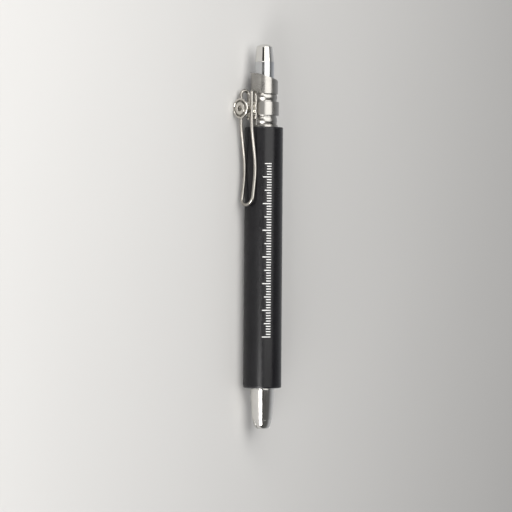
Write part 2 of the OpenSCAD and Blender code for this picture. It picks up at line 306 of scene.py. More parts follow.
def ring_faces(rings, count):
    """Quads between neighbouring rings of count points each."""
    faces = []
    for ring in range(rings - 1):
        low, high = ring * count, (ring + 1) * count
        for step in range(count):
            ahead = (step + 1) % count
            faces.append([low + step, low + ahead, high + ahead, high + step])
    return faces


def smooth_path(points, steps):
    """A smooth curve through all the points."""
    path = []
    last = len(points) - 1
    for i in range(last):
        a, b = points[max(i - 1, 0)], points[i]
        c, d = points[i + 1], points[min(i + 2, last)]
        for step in range(steps):
            t = step / steps
            path.append(0.5 * (
                2 * b + (c - a) * t + (2 * a - 5 * b + 4 * c - d) * t * t
                + (3 * b - a - 3 * c + d) * t * t * t
            ))
    path.append(points[last])
    return path


def wire_rings(path, radius, side):
    """Rings of a round wire as (middle, side, cross, radius, length so far). side is square to
    the wire and turns with it. The ends are rounded by some smaller rings."""
    end_round = 0.25
    run = lengths(path)
    last = len(path) - 1
    rings = []
    for i, mid in enumerate(path):
        along = (path[min(i + 1, last)] - path[max(i - 1, 0)]).normalized()
        side = (side - along * side.dot(along)).normalized()
        cross = along.cross(side)
        leans = [90, 60, 30, 0] if i == 0 else [0, 30, 60, 90] if i == last else [0]
        sign = -1 if i == 0 else 1
        for degrees in leans:
            lean = math.radians(degrees)
            ring_mid = mid + along * (sign * end_round * math.sin(lean))
            ring_r = radius - end_round * (1 - math.cos(lean))
            rings.append((ring_mid, side, cross, ring_r, run[i]))
    return rings


def sweep(name, path, radius, sides, first_side):
    """A round wire along a path in the holder's own frame."""
    rings = wire_rings(path, radius, first_side)
    points = []
    for mid, side, cross, ring_r, _ in rings:
        for step in range(sides):
            angle = TURN * step / sides
            spot = mid + (side * math.cos(angle) + cross * math.sin(angle)) * ring_r
            points.append(place(*spot))
    faces = ring_faces(len(rings), sides)
    uvs = []
    for row in range(len(rings) - 1):
        level, next_level = rings[row][4], rings[row + 1][4]
        for step in range(sides):
            turn, next_turn = step / sides, (step + 1) / sides
            uvs.append([
                (turn, level), (next_turn, level), (next_turn, next_level), (turn, next_level),
            ])
    for row in (0, len(rings) - 1):
        faces.append([row * sides + step for step in range(sides)])
        uvs.append([(step / sides, rings[row][4]) for step in range(sides)])
    return mesh_object(name, points, faces, uvs)


def dress(piece, material, body, *replaced, slot):
    """The piece gets a material, rides on a body and stands for CAD nodes. slot is not used."""
    piece.data.materials.append(material)
    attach(piece, body)
    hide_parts(*replaced)


# Materials

def node(tree, kind, settings=None, sockets=None):
    """Adds a node; a socket's value may be a number, a colour or another node's output."""
    made = tree.nodes.new(kind)
    for key, value in (settings or {}).items():
        setattr(made, key, value)
    for key, value in (sockets or {}).items():
        if isinstance(value, bpy.types.NodeSocket):
            tree.links.new(value, made.inputs[key])
        else:
            made.inputs[key].default_value = value
    return made


def math_node(tree, operation, first, second=None):
    """A sum, product or function of one or two values."""
    sockets = {0: first} if second is None else {0: first, 1: second}
    made = node(tree, "ShaderNodeMath", {"operation": operation}, sockets)
    return made.outputs[0]


def blank_material(name, metallic):
    """A new material with its node tree and its shader."""
    material = bpy.data.materials.new(name)
    material.use_nodes = True
    shader = material.node_tree.nodes["Principled BSDF"]
    shader.inputs["Metallic"].default_value = metallic
    return material, material.node_tree, shader


def turned_coordinates(tree, around, along):
    """Coordinates on a turned or drawn piece: small numbers for around make long rings,
    and small numbers for along make long streaks."""
    uv = node(tree, "ShaderNodeUVMap", {"uv_map": UV_NAME})
    parts = node(tree, "ShaderNodeSeparateXYZ", None, {0: uv.outputs[0]})
    angle = math_node(tree, "MULTIPLY", parts.outputs[0], TURN)
    cosine = math_node(tree, "COSINE", angle)
    sine = math_node(tree, "SINE", angle)
    joined = node(tree, "ShaderNodeCombineXYZ", None, {0: cosine, 1: sine, 2: parts.outputs[1]})
    scaled = node(tree, "ShaderNodeVectorMath", {"operation": "MULTIPLY"}, {
        0: joined.outputs[0], 1: (around, around, along)})
    return scaled.outputs[0]


def object_coordinates(tree, across, along):
    """Coordinates in the row frame, in millimetres times a scale across and along the holder."""
    spot = node(tree, "ShaderNodeTexCoord")
    scale = (across / MM, along / MM, across / MM)
    scaled = node(tree, "ShaderNodeVectorMath", {"operation": "MULTIPLY"}, {
        0: spot.outputs["Object"], 1: scale})
    return scaled.outputs[0]


def noise(tree, vector, detail, roughness=0.6, scale=1.0):
    """A noise texture's value, mostly between NOISE_LOW and NOISE_HIGH."""
    made = node(tree, "ShaderNodeTexNoise", None, {
        "Vector": vector, "Scale": scale, "Detail": detail, "Roughness": roughness})
    return made.outputs["Fac"]


def span(tree, value, low, high, out_low, out_high):
    """Maps value from low..high to out_low..out_high."""
    made = node(tree, "ShaderNodeMapRange", None, {
        "Value": value, "From Min": low, "From Max": high,
        "To Min": out_low, "To Max": out_high})
    return made.outputs[0]


def spread(tree, noise_value, out_low=0, out_high=1):
    """Maps the usual values of a noise texture to out_low..out_high."""
    return span(tree, noise_value, NOISE_LOW, NOISE_HIGH, out_low, out_high)


def mixed(tree, factor, low, high):
    """A colour between two colours."""
    made = node(tree, "ShaderNodeMix", {"data_type": "RGBA"}, {
        0: factor, 6: (*low, 1), 7: (*high, 1)})
    return made.outputs[2]


def summed(tree, first, second):
    """The sum of two values."""
    return math_node(tree, "ADD", first, second)


def bump(tree, height_value, strength, depth_mm):
    """A normal from a height between 0 and 1."""
    made = node(tree, "ShaderNodeBump", None, {
        "Strength": strength, "Distance": depth_mm * MM, "Height": height_value})
    return made.outputs[0]


def metal(name, light, dark, rough, grain, depth, wave=0.0):
    """A metal with fine tool lines, faint smudges and a little waviness. rough is (lowest,
    highest), grain is how fine the lines are (around, along), and depth is theirs in mm."""
    material, tree, shader = blank_material(name, 1.0)
    line = noise(tree, turned_coordinates(tree, *grain), detail=2.0)
    smudge = noise(tree, turned_coordinates(tree, around=1.6, along=0.35), detail=3.0)
    colour = mixed(tree, spread(tree, smudge), dark, light)
    worn = summed(tree, spread(tree, line, 0, 0.5), spread(tree, smudge, 0, 0.5))
    surface = line
    if wave:
        slow = turned_coordinates(tree, around=1.1, along=0.22)
        ripple = noise(tree, slow, detail=1.0, roughness=0.4)
        surface = summed(tree, line, span(tree, ripple, 0, 1, 0, wave))
    tree.links.new(colour, shader.inputs["Base Color"])
    tree.links.new(span(tree, worn, 0, 1, *rough), shader.inputs["Roughness"])
    tree.links.new(bump(tree, surface, strength=0.6, depth_mm=depth), shader.inputs["Normal"])
    return material


def satin(name, light, dark, rough, depth):
    """A finely blasted metal: small even grain, faint turning and some handling marks."""
    material, tree, shader = blank_material(name, 1.0)
    grain = noise(tree, turned_coordinates(tree, around=60.0, along=12.0), detail=2.0)
    wide = object_coordinates(tree, across=0.35, along=0.35)
    mark = noise(tree, wide, detail=2.0, roughness=0.5)
    rings = turned_coordinates(tree, around=0.5, along=3.0)
    turning = noise(tree, rings, detail=2.0, roughness=0.5)
    colour = mixed(tree, spread(tree, mark), dark, light)
    worn = summed(tree, span(tree, mark, 0.2, 0.8, 0, 0.7), spread(tree, turning, 0, 0.3))
    tree.links.new(colour, shader.inputs["Base Color"])
    tree.links.new(span(tree, worn, 0, 1, *rough), shader.inputs["Roughness"])
    tree.links.new(bump(tree, grain, strength=0.5, depth_mm=depth), shader.inputs["Normal"])
    return material


def inner_metal(name, light, dark, rough, lines):
    """A turned metal for CAD nodes, with lines round the holder's axis; lines is how many per
    millimetre."""
    material, tree, shader = blank_material(name, 1.0)
    line = noise(tree, object_coordinates(tree, across=0.15, along=lines), detail=2.0)
    stain = noise(tree, object_coordinates(tree, across=0.5, along=0.4), detail=3.0)
    colour = mixed(tree, spread(tree, stain), dark, light)
    worn = summed(tree, line, stain)
    tree.links.new(colour, shader.inputs["Base Color"])
    tree.links.new(span(tree, worn, 0.6, 1.4, *rough), shader.inputs["Roughness"])
    tree.links.new(bump(tree, line, strength=0.5, depth_mm=0.004), shader.inputs["Normal"])
    return material


def rubbed_ends(tree):
    """How much the barrel's two ends are rubbed, from 0 to 1 in patches."""
    reach = 0.9 * MM
    patches = object_coordinates(tree, across=0.8, along=0.5)
    rub = noise(tree, patches, detail=3.0, roughness=0.65)
    spot = node(tree, "ShaderNodeTexCoord")
    parts = node(tree, "ShaderNodeSeparateXYZ", None, {0: spot.outputs["Object"]})
    low_end = place(0, 0, BARREL_Z).y
    high_end = place(0, 0, COLLAR_Z).y
    near_low = span(tree, parts.outputs[1], low_end, low_end + reach, 1, 0)
    near_high = span(tree, parts.outputs[1], high_end - reach, high_end, 0, 1)
    near_end = summed(tree, near_low, near_high)
    return math_node(tree, "MULTIPLY", near_end, span(tree, rub, 0.4, 0.65, 0.1, 1))


def soft_black():
    """Soft-touch lacquer on the barrel: fine grain, faint handling marks and rubbed ends."""
    dark = (0.0042, 0.0041, 0.0050)
    light = (0.0068, 0.0066, 0.0078)
    rubbed = (0.035, 0.035, 0.038, 1)
    material, tree, shader = blank_material("barrel_black", 0.0)
    fine = object_coordinates(tree, across=9.0, along=9.0)
    grain = noise(tree, fine, detail=2.0, roughness=0.7)
    cloud = noise(tree, object_coordinates(tree, across=0.22, along=0.09), detail=4.0)
    worn = rubbed_ends(tree)
    shade = mixed(tree, spread(tree, cloud), dark, light)
    colour = node(tree, "ShaderNodeMix", {"data_type": "RGBA"}, {
        0: worn, 6: shade, 7: rubbed})
    rough = summed(tree, spread(tree, cloud, 0.25, 0.30), span(tree, worn, 0, 1, 0, -0.1))
    rough = summed(tree, rough, spread(tree, grain, -0.03, 0.03))
    tree.links.new(colour.outputs[2], shader.inputs["Base Color"])
    tree.links.new(rough, shader.inputs["Roughness"])
    tree.links.new(bump(tree, grain, strength=0.35, depth_mm=0.006), shader.inputs["Normal"])
    shader.inputs["IOR"].default_value = 1.36
    return material


def printed_white():
    """White screen print: a little uneven in shade and thickness."""
    material, tree, shader = blank_material("printed_white", 0.0)
    patch = noise(tree, object_coordinates(tree, across=3.0, along=3.0), detail=3.0)
    colour = mixed(tree, spread(tree, patch), (0.54, 0.54, 0.53), (0.64, 0.64, 0.63))
    tree.links.new(colour, shader.inputs["Base Color"])
    tree.links.new(spread(tree, patch, 0.42, 0.55), shader.inputs["Roughness"])
    tree.links.new(bump(tree, patch, strength=0.3, depth_mm=0.004), shader.inputs["Normal"])
    return material


def moulded_plastic():
    """Black plastic with a fine grain and faint flow marks."""
    material, tree, shader = blank_material("bush_plastic", 0.0)
    grain = noise(tree, object_coordinates(tree, across=6.0, along=6.0), detail=3.0)
    flow = noise(tree, object_coordinates(tree, across=0.6, along=0.2), detail=3.0)
    colour = mixed(tree, spread(tree, flow), (0.020, 0.020, 0.022), (0.034, 0.034, 0.037))
    tree.links.new(colour, shader.inputs["Base Color"])
    tree.links.new(spread(tree, grain, 0.36, 0.5), shader.inputs["Roughness"])
    tree.links.new(bump(tree, grain, strength=0.4, depth_mm=0.01), shader.inputs["Normal"])
    return material


def graphite():
    """Pressed graphite: dark grey with a faint metallic sheen and drawn streaks."""
    material, tree, shader = blank_material("graphite", 0.35)
    streak = noise(tree, object_coordinates(tree, across=4.0, along=0.25), detail=3.0)
    fine = object_coordinates(tree, across=12.0, along=12.0)
    speck = noise(tree, fine, detail=2.0, roughness=0.7)
    colour = mixed(tree, spread(tree, streak), (0.045, 0.045, 0.05), (0.085, 0.085, 0.09))
    worn = summed(tree, streak, speck)
    tree.links.new(colour, shader.inputs["Base Color"])
    tree.links.new(span(tree, worn, 0.6, 1.4, 0.38, 0.58), shader.inputs["Roughness"])
    tree.links.new(bump(tree, speck, strength=0.4, depth_mm=0.008), shader.inputs["Normal"])
    return material


CHROME = metal(
    "polished_chrome", light=(0.75, 0.74, 0.712), dark=(0.71, 0.70, 0.677),
    rough=(0.07, 0.14), grain=(0.7, 12), depth=0.0003, wave=0.6)
TUBE_CHROME = metal(
    "tube_chrome", light=(0.60, 0.61, 0.62), dark=(0.54, 0.55, 0.56),
    rough=(0.15, 0.23), grain=(0.7, 10), depth=0.0008)
SATIN_NICKEL = satin(
    "satin_nickel", light=(0.36, 0.35, 0.332), dark=(0.33, 0.321, 0.304),
    rough=(0.26, 0.31), depth=0.003)
STUD_NICKEL = metal(
    "polished_nickel", light=(0.66, 0.638, 0.59), dark=(0.58, 0.56, 0.515),
    rough=(0.10, 0.20), grain=(0.7, 16), depth=0.0012)
# Darker nickel for the stud's groove and socket: painted shade in those recesses.
PAINTED_SHADE_NICKEL = metal(
    "painted_shade_nickel", light=(0.30, 0.285, 0.26), dark=(0.20, 0.19, 0.17),
    rough=(0.30, 0.42), grain=(0.7, 12), depth=0.002)
CLIP_NICKEL = metal(
    "clip_nickel", light=(0.43, 0.411, 0.378), dark=(0.37, 0.353, 0.32),
    rough=(0.26, 0.36), grain=(9.0, 0.25), depth=0.0012)
SPRING_STEEL = metal(
    "spring_steel", light=(0.48, 0.49, 0.51), dark=(0.38, 0.39, 0.41),
    rough=(0.2, 0.32), grain=(6.0, 0.3), depth=0.0015)
BRASS = inner_metal(
    "brass", light=(0.80, 0.62, 0.30), dark=(0.70, 0.52, 0.24), rough=(0.2, 0.34), lines=14)
INNER_STEEL = inner_metal(
    "inner_steel", light=(0.52, 0.53, 0.55), dark=(0.42, 0.43, 0.45), rough=(0.16, 0.3), lines=18)
BLACK = soft_black()
PRINT = printed_white()
PLASTIC = moulded_plastic()
GRAPHITE = graphite()


# Pieces

def make_barrel():
    """Round barrel with rounded ends, over the seats of the liner and the collar."""
    outline = rounded([
        (LIP_BORE_R, BARREL_Z, 0.12),
        (BARREL_R, BARREL_Z, 0.5),
        (BARREL_R, COLLAR_Z, 0.5),
        (SHANK_SEAT_R, COLLAR_Z, 0.08),
        (SHANK_SEAT_R, LINER_TOP_Z, 0),
        (LINER_SEAT_R, LINER_TOP_Z, 0),
        (LINER_SEAT_R, LINER_Z, 0),
        (LIP_BORE_R, LINER_Z, 0),
    ], steps=7)
    piece = lathe("barrel_shell", outline, segments=192)
    dress(piece, BLACK, "holder", "barrel", slot="barrel_black")


def mark_points(mark):
    """Cross-sections of one mark, which wraps round the barrel."""
    long = 3.3 if mark % 10 == 0 else 2.6 if mark % 5 == 0 else 1.8
    mid_z = SCALE_LOW_Z + mark
    section = ((MARK_SUNK, -1), (MARK_PROUD, -1), (MARK_PROUD, 1), (MARK_SUNK, 1))
    points = []
    for step in range(MARK_STEPS + 1):
        across = MARK_END - long * step / MARK_STEPS
        angle = SCALE_TURN + across / BARREL_R
        for level, side in section:
            points.append(on_axis(BARREL_R + level, angle, mid_z + side * MARK_THICK / 2))
    return points


def mark_faces(base):
    """Walls and ends of one mark; the wall inside the barrel is left out."""
    faces = []
    for step in range(MARK_STEPS):
        for edge in range(3):
            low = base + 4 * step + edge
            faces.append([low, low + 1, low + 5, low + 4])
    for step in (0, MARK_STEPS):
        low = base + 4 * step
        faces.append([low, low + 1, low + 2, low + 3])
    return faces


def make_scale_marks():
    """Plain millimetre marks printed along the barrel."""
    points = []
    faces = []
    for mark in range(SCALE_MARKS):
        faces.extend(mark_faces(len(points)))
        points.extend(mark_points(mark))
    uvs = [[(0, 0)] * len(face) for face in faces]
    piece = mesh_object("scale_marks", points, faces, uvs)
    piece.data.materials.append(PRINT)
    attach(piece, "holder")


def cone_wall(low_z, high_z):
    """The cone's slightly crowned side, without its two ends."""
    steps = 12
    crown = 0.4
    wall = []
    for step in range(1, steps):
        share = step / steps
        bulge = crown * share * (1 - share)
        r = MOUTH_R + (CONE_TOP_R - MOUTH_R) * share + bulge
        wall.append((r, low_z + (high_z - low_z) * share, 0))
    return wall


def make_nose_cone():
    """Slightly crowned cone with a rim, and the shank that screws into the barrel."""
    relief_r = 4.15
    tube_bore_r = TUBE_R + 0.08
    wall_top_z = CONE_RIM_Z - 0.45
    outline = rounded([
        (MOUTH_BORE_R, MOUTH_Z, 0.05),
        (MOUTH_R - 0.01, MOUTH_Z, 0.1),
        *cone_wall(MOUTH_Z, wall_top_z),
        (CONE_TOP_R, wall_top_z, 0.06),
        (CONE_RIM_R, CONE_RIM_Z - 0.36, 0.05),
        (CONE_RIM_R, CONE_RIM_Z, 0.1),
        (relief_r, CONE_RIM_Z, 0),
        (relief_r, BARREL_Z + 0.3, 0),
        (CONE_SHANK_R, BARREL_Z + 0.5, 0.05),
        (CONE_SHANK_R, SHANK_TOP_Z, 0.1),
        (tube_bore_r, SHANK_TOP_Z, 0.05),
        (tube_bore_r, BARREL_Z, 0),
        (MOUTH_BORE_R, BARREL_Z, 0),
    ])
    piece = lathe("polished_nose_cone", outline, segments=160)
    dress(piece, CHROME, "holder", "nose_cone", slot="polished_chrome")


def jaw_outline():
    """Outline of one jaw: the tip's hole, the dome, the step behind the head and the finger."""
    tip_hole_r = 1.3
    dome_low_r = tip_hole_r + 0.15
    dome_top_z = MOUTH_Z - 0.25
    neck = (2.23, 6.6)
    root_r = 3.3
    dome_steps = 24
    dome = []
    for step in range(1, dome_steps + 1):
        angle = math.pi / 2 * step / dome_steps
        dome.append(Vector((
            dome_low_r + (JAW_HEAD_R - dome_low_r) * math.sin(angle) ** 0.9,
            dome_top_z * (1 - math.cos(angle)),
        )))
    back = rounded([
        (JAW_HEAD_R, dome_top_z, 0),
        (JAW_HEAD_R, MOUTH_Z - 0.02, 0.07),
        (*neck, 0.4),
        (root_r, JAW_ROOT_Z, 0),
        (TUBE_BORE_R, JAW_ROOT_Z, 0),
    ], closed=False)
    return [Vector((tip_hole_r, 0.05)), Vector((tip_hole_r + 0.06, 0)), *dome, *back[1:]]


def jaw_uvs(outline, start):
    """Coordinates of a jaw's turned faces and then of its two flat sides."""
    run = lengths(outline)
    uvs = []
    for step in range(JAW_STEPS):
        u = (start + JAW_SECTOR * step / JAW_STEPS) / TURN
        next_u = u + JAW_SECTOR / JAW_STEPS / TURN
        for v, next_v in zip(run, run[1:] + run[-1:]):
            uvs.append([(u, v), (u, next_v), (next_u, next_v), (next_u, v)])
    for _ in range(2):
        uvs.append([(0.1 * r, z) for r, z in outline])
    return uvs


def soften_edges(piece):
    """A small bevel on the jaw's sharp edges."""
    edge = piece.modifiers.new("edge", "BEVEL")
    edge.width = 0.07 * MM
    edge.segments = 2
    edge.limit_method = "ANGLE"
    edge.angle_limit = math.radians(50)
    edge.harden_normals = True


def make_jaw(number, mid_degrees):
    """One of the three jaws; mid_degrees is the direction of its middle."""
    outline = jaw_outline()
    start = math.radians(mid_degrees) - JAW_SECTOR / 2
    points = []
    for step in range(JAW_STEPS + 1):
        angle = start + JAW_SECTOR * step / JAW_STEPS
        points.extend(on_axis(r, angle, z) for r, z in outline)
    count = len(outline)
    faces = ring_faces(JAW_STEPS + 1, count)
    for step in (0, JAW_STEPS):
        faces.append([step * count + i for i in range(count)])
    uvs = jaw_uvs(outline, start)
    piece = mesh_object("jaw_%d" % number, points, faces, uvs, sharp_degrees=50)
    soften_edges(piece)
    dress(piece, CHROME, "jaw_%d" % number, "collet_jaw_%d" % number, slot="polished_chrome")


def bead(low_z, high_z):
    """Half a wave from the groove's radius out and back."""
    steps = 18
    points = []
    for step in range(steps + 1):
        share = step / steps
        r = GROOVE_R + (BEAD_R - GROOVE_R) * math.sin(math.pi * share)
        points.append(Vector((r, low_z + (high_z - low_z) * share)))
    return points


def slant(r, z, angle):
    """Raises the collar's upper end, so that it is cut at a slant."""
    if z < SLANT_Z - 0.5:
        return 0
    return SLANT_SLOPE * r * math.cos(angle - SLANT_TURN)


def make_collar():
    """Collar with a shank, two beads, a band between them and a slanted sleeve."""
    ledge_z = COLLAR_Z + 0.85
    band_foot_z = COLLAR_Z + 3.9
    band_top_z = COLLAR_Z + 9.9
    sleeve_foot_z = COLLAR_Z + 12.47
    shank = rounded([
        (COLLAR_BORE_R, LINER_TOP_Z, 0),
        (COLLAR_SHANK_R, LINER_TOP_Z, 0.15),
        (COLLAR_SHANK_R, COLLAR_Z, 0.08),
        (SLEEVE_R, COLLAR_Z, 0),
        (SLEEVE_R, ledge_z, 0.12),
        (GROOVE_R, LOWER_BEAD[0], 0),
    ], closed=False)
    band = rounded([
        (GROOVE_R, band_foot_z, 0),
        (GROOVE_R, BAND_Z[0], 0.12),
        (BAND_R, BAND_Z[0], 0.15),
        (BAND_R, BAND_Z[1], 0.15),
        (GROOVE_R, BAND_Z[1], 0.12),
        (GROOVE_R, band_top_z, 0),
    ], closed=False)
    sleeve = rounded([
        (GROOVE_R, sleeve_foot_z, 0),
        (SLEEVE_R, SLEEVE_Z, 0.1),
        (SLEEVE_R, SLANT_Z, 0.1),
        (COLLAR_BORE_R, SLANT_Z, 0.08),
        (COLLAR_BORE_R, LINER_TOP_Z, 0),
    ], closed=False)
    outline = [*shank[:-1], *bead(*LOWER_BEAD), *band, *bead(*UPPER_BEAD), *sleeve[:-1]]
    piece = lathe("satin_collar", outline, segments=160, shift=slant)
    dress(piece, SATIN_NICKEL, "holder", "collar", slot="satin_nickel")


def saddle_levels():
    """The saddle's layers as (distance from the holder's axis, inset)."""
    flat_back = 4.7
    soft = 0.16
    steps = 4
    levels = [(flat_back, 0)]
    for step in range(steps + 1):
        angle = math.pi / 2 * step / steps
        out = SADDLE_OUT - soft + soft * math.sin(angle)
        levels.append((out, soft * (1 - math.cos(angle))))
    return levels


def make_saddle():
    """Bar under the stud: rounded ends, a flat back and softened edges."""
    half_w = 1.7
    corner = 0.9
    outline = rounded([
        (-half_w, SADDLE_Z, corner / 2),
        (half_w, SADDLE_Z, corner / 2),
        (half_w, SADDLE_TOP_Z, corner),
        (-half_w, SADDLE_TOP_Z, corner),
    ], steps=8)
    mid = Vector((0, (SADDLE_Z + SADDLE_TOP_Z) / 2))
    half_h = SADDLE_TOP_Z - mid.y
    levels = saddle_levels()
    points = []
    for out, inset in levels:
        for spot in outline:
            away = spot - mid
            inner = mid + Vector((
                away.x * (1 - inset / half_w),
                away.y * (1 - inset / half_h),
            ))
            points.append(place(out, inner.x, inner.y))
    count = len(outline)
    faces = ring_faces(len(levels), count)
    for level in (0, len(levels) - 1):
        faces.append([level * count + i for i in range(count)])
    uvs = [[(0.5, level) for level in range(len(face))] for face in faces]
    piece = mesh_object("stud_saddle", points, faces, uvs)
    dress(piece, SATIN_NICKEL, "holder", "clip_saddle", slot="satin_nickel")


def make_washer():
    """Washer that clamps the clip's wire."""
    washer_r = 3.2
    bore_r = 1.15
    back = 6.96
    outline = rounded([
        (bore_r, back, 0.05),
        (washer_r, back, 0.15),
        (washer_r, WASHER_OUT, 0.25),
        (bore_r, WASHER_OUT, 0.05),
    ])
    piece = lathe("clamp_washer", outline, where=on_stud, segments=96)
    dress(piece, STUD_NICKEL, "holder", "stud_washer", slot="polished_nickel")


def stud_outline():
    """The screw, its boss and neck, the head's round rim, and the head's grooved face."""
    screw_end = 4.65
    boss_r = 2.62
    boss_low = WASHER_OUT + 0.01
    boss_top = 8.55
    neck_r = 2.0
    neck_top = STUD_FACE_OUT - 1.4
    neck = rounded([
        (0, screw_end, 0),
        (SCREW_R, screw_end, 0.12),
        (SCREW_R, boss_low, 0),
        (boss_r, boss_low, 0.12),
        (boss_r, boss_top, 0.25),
        (neck_r, boss_top, 0.12),
        (neck_r, neck_top, 0.15),
        (3.65, STUD_FACE_OUT - 0.84, 0),
    ], closed=False)
    rim = arc((RIM_MID_R, RIM_MID_OUT), RIM_R, start=-60, end=180, steps=24)
    groove_out = STUD_FACE_OUT - 0.58
    face = rounded([
        (RIM_MID_R - RIM_R, RIM_MID_OUT, 0),
        (2.95, groove_out, 0.06),
        (2.4, groove_out, 0.08),
        (2.35, STUD_FACE_OUT - 0.01, 0.16),
        (1.1, STUD_FACE_OUT, 0.1),
        (1.0, STUD_FACE_OUT - 0.85, 0.1),
        (0, STUD_FACE_OUT - 1.0, 0),
    ], closed=False)
    return [*neck[:-1], *rim, *face[1:]]


def is_sunk(spot):
    """Whether a point of the stud lies in the groove or the socket of its face."""
    out = (spot - TIP).dot(OUT) / MM
    from_stud = (spot - place(out, 0, STUD_Z)).length / MM
    in_groove = (2.3 < from_stud < RIM_MID_R - 0.8 * RIM_R
                 and RIM_MID_OUT - 0.2 < out < STUD_FACE_OUT - 0.12)
    in_socket = from_stud < 1.05 and RIM_MID_OUT - 0.8 < out < STUD_FACE_OUT - 0.08
    return in_groove or in_socket


def make_stud():
    """Screw with a round head; its groove and socket get a darker nickel as painted shade."""
    piece = lathe("stud_and_screw", stud_outline(), closed=False, where=on_stud, segments=128)
    dress(piece, STUD_NICKEL, "holder", "stud_screw", slot="polished_nickel")
    # The groove and socket take the darker nickel: painted shade.
    piece.data.materials.append(PAINTED_SHADE_NICKEL)
    for polygon in piece.data.polygons:
        if is_sunk(polygon.center):
            polygon.material_index = 1


def hook_point(degrees, side):
    """A point of one hook, from the clamped end (0) to the leg (180)."""
    angle = math.radians(degrees)
    half_gap = RETURN_HALF_GAP + (LEG_HALF_GAP - RETURN_HALF_GAP) * degrees / 180
    out = HOOK_MID - HOOK_R * math.cos(angle)
    return Vector((out, side * half_gap, HOOK_Z + HOOK_R * math.sin(angle)))


def clip_half(side):
    """From the clamped end over the hook and down one leg. Points are (distance from the holder's
    axis, height below the hook's centre)."""
    tail = [(6.65, 9.1), (6.4, 8.5), (RETURN_OUT, 7.9), (RETURN_OUT, 4.5), (RETURN_OUT, 0)]
    leg = [(LEG_OUT, 0), (LEG_OUT, 8), (9.1, 13), (8.3, 18.2), (7.52, 24), (7.34, 28.6),
           (7.69, 32.8), (8.2, 36.6), (LEG_END_OUT, LEG_DROP)]
    ends = [Vector((out, side * RETURN_HALF_GAP, HOOK_Z - drop)) for out, drop in tail]
    legs = [Vector((out, side * LEG_HALF_GAP, HOOK_Z - drop)) for out, drop in leg]
    hook = [hook_point(degrees, side) for degrees in range(12, 180, 12)]
    return [*smooth_path(ends, steps=6), *hook, *smooth_path(legs, steps=8)]


def clip_bend():
    """The round bend that joins the two legs at their lower end."""
    flare = 0.25
    bend_z = HOOK_Z - LEG_DROP
    bend = []
    for degrees in range(10, 180, 10):
        angle = math.radians(degrees)
        drop = LEG_HALF_GAP * math.sin(angle)
        out = LEG_END_OUT + flare * drop
        bend.append(Vector((out, -LEG_HALF_GAP * math.cos(angle), bend_z - drop)))
    return bend


def make_clip():
    """The whole clip is one bent wire, from the clamped ends over the hooks and down both legs.
    """
    path = [*clip_half(-1), *clip_bend(), *reversed(clip_half(1))]
    piece = sweep("clip_spring_wire", path, WIRE_R, sides=20, first_side=Vector((0, 1, 0)))
    piece.data.materials.append(CLIP_NICKEL)
    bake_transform(piece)
    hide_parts("clip_wire", "clip_wire_ends")


def make_tube():
    """Feed tube with a seat for the jaws' sleeve at its lower end."""
    outline = rounded([
        (SPIGOT_SEAT_R, TUBE_LOW_Z, 0.05),
        (TUBE_R, TUBE_LOW_Z, 0.1),
        (TUBE_R, TUBE_TOP_Z, 0.06),
        (TUBE_BORE_R, TUBE_TOP_Z, 0.05),
        (TUBE_BORE_R, SPIGOT_SEAT_Z, 0),
        (SPIGOT_SEAT_R, SPIGOT_SEAT_Z, 0),
    ])
    piece = lathe("polished_feed_tube", outline)
    dress(piece, TUBE_CHROME, "mechanism", "feed_tube", slot="tube_chrome")


def make_cap():
    """Push cap: a tapered wall, a soft edge and a shallow dome. The dome's arc stops short of
    the wall, which leaves room for the soft edge."""
    dome_r = (CAP_HIGH_R ** 2 + CAP_DOME ** 2) / (2 * CAP_DOME)
    reach = math.degrees(math.asin(CAP_HIGH_R / dome_r))
    crown_start = 90 - reach * 0.94
    crown = arc((0, CAP_TOP_Z - dome_r), dome_r, start=crown_start, end=90, steps=16)
    wall = rounded([
        (CAP_BORE_R, CAP_BORE_Z, 0),
        (CAP_BORE_R, TUBE_TOP_Z, 0.05),
        (CAP_LOW_R, TUBE_TOP_Z, 0.08),
        (CAP_HIGH_R, CAP_TOP_Z - CAP_DOME, 0.3),
        (*crown[0], 0),
    ], closed=False)
    crown[-1] = Vector((0, CAP_TOP_Z))
    outline = [Vector((0, CAP_BORE_Z)), *wall[:-1], *crown]
    piece = lathe("polished_push_cap", outline, closed=False)
    dress(piece, CHROME, "cap", "push_cap", slot="polished_chrome")


def coil_path(low_z, high_z, coil_r, lead_in):
    """Middle of a coil's wire: a flat turn, open turns and a flat turn. Each flat turn rises by
    lead_in."""
    turns, flat_turns = 9, 0.9
    steps = 32
    open_turns = turns - 2 * flat_turns
    rise = high_z - low_z - 2 * lead_in
    path = []
    for step in range(steps * turns + 1):
        turn = step / steps
        z = low_z + lead_in * min(turn, flat_turns) / flat_turns
        z += rise * max(0, min(turn - flat_turns, open_turns)) / open_turns
        z += lead_in * max(0, turn - turns + flat_turns) / flat_turns
        path.append(Vector((coil_r * math.cos(TURN * turn), coil_r * math.sin(TURN * turn), z)))
    return path


def make_spring():
    """The coil stands on its seat and reaches up to just below the stop ring."""
    wire_r = 0.3
    coil_r = 4.06
    seat_and_wire = 0.8
    wire_and_gap = 0.32
    low_z = SHANK_TOP_Z + seat_and_wire
    high_z = height("stop_ring", 0) - wire_and_gap
    lead_in = 2.1 * wire_r
    path = coil_path(low_z, high_z, coil_r, lead_in)
    piece = sweep("coil_spring", path, wire_r, sides=12, first_side=Vector((0, 0, 1)))
    piece.data.materials.append(SPRING_STEEL)
    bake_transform(piece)
    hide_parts("return_spring")


def dress_cad_nodes():
    """Materials of the inner CAD nodes, whose shapes stay as they are."""
    finish = {
        "barrel_liner": BRASS, "stop_ring": BRASS, "collet_sleeve": BRASS,
        "spring_seat": INNER_STEEL, "sharpener_blade": INNER_STEEL,
        "guide_bush": PLASTIC, "sharpener_core": PLASTIC, "lead": GRAPHITE,
    }
    for name, material in finish.items():
        mesh = frame["nodes"][name].data
        mesh.materials.clear()
        mesh.materials.append(material)


# Stage, lights and camera

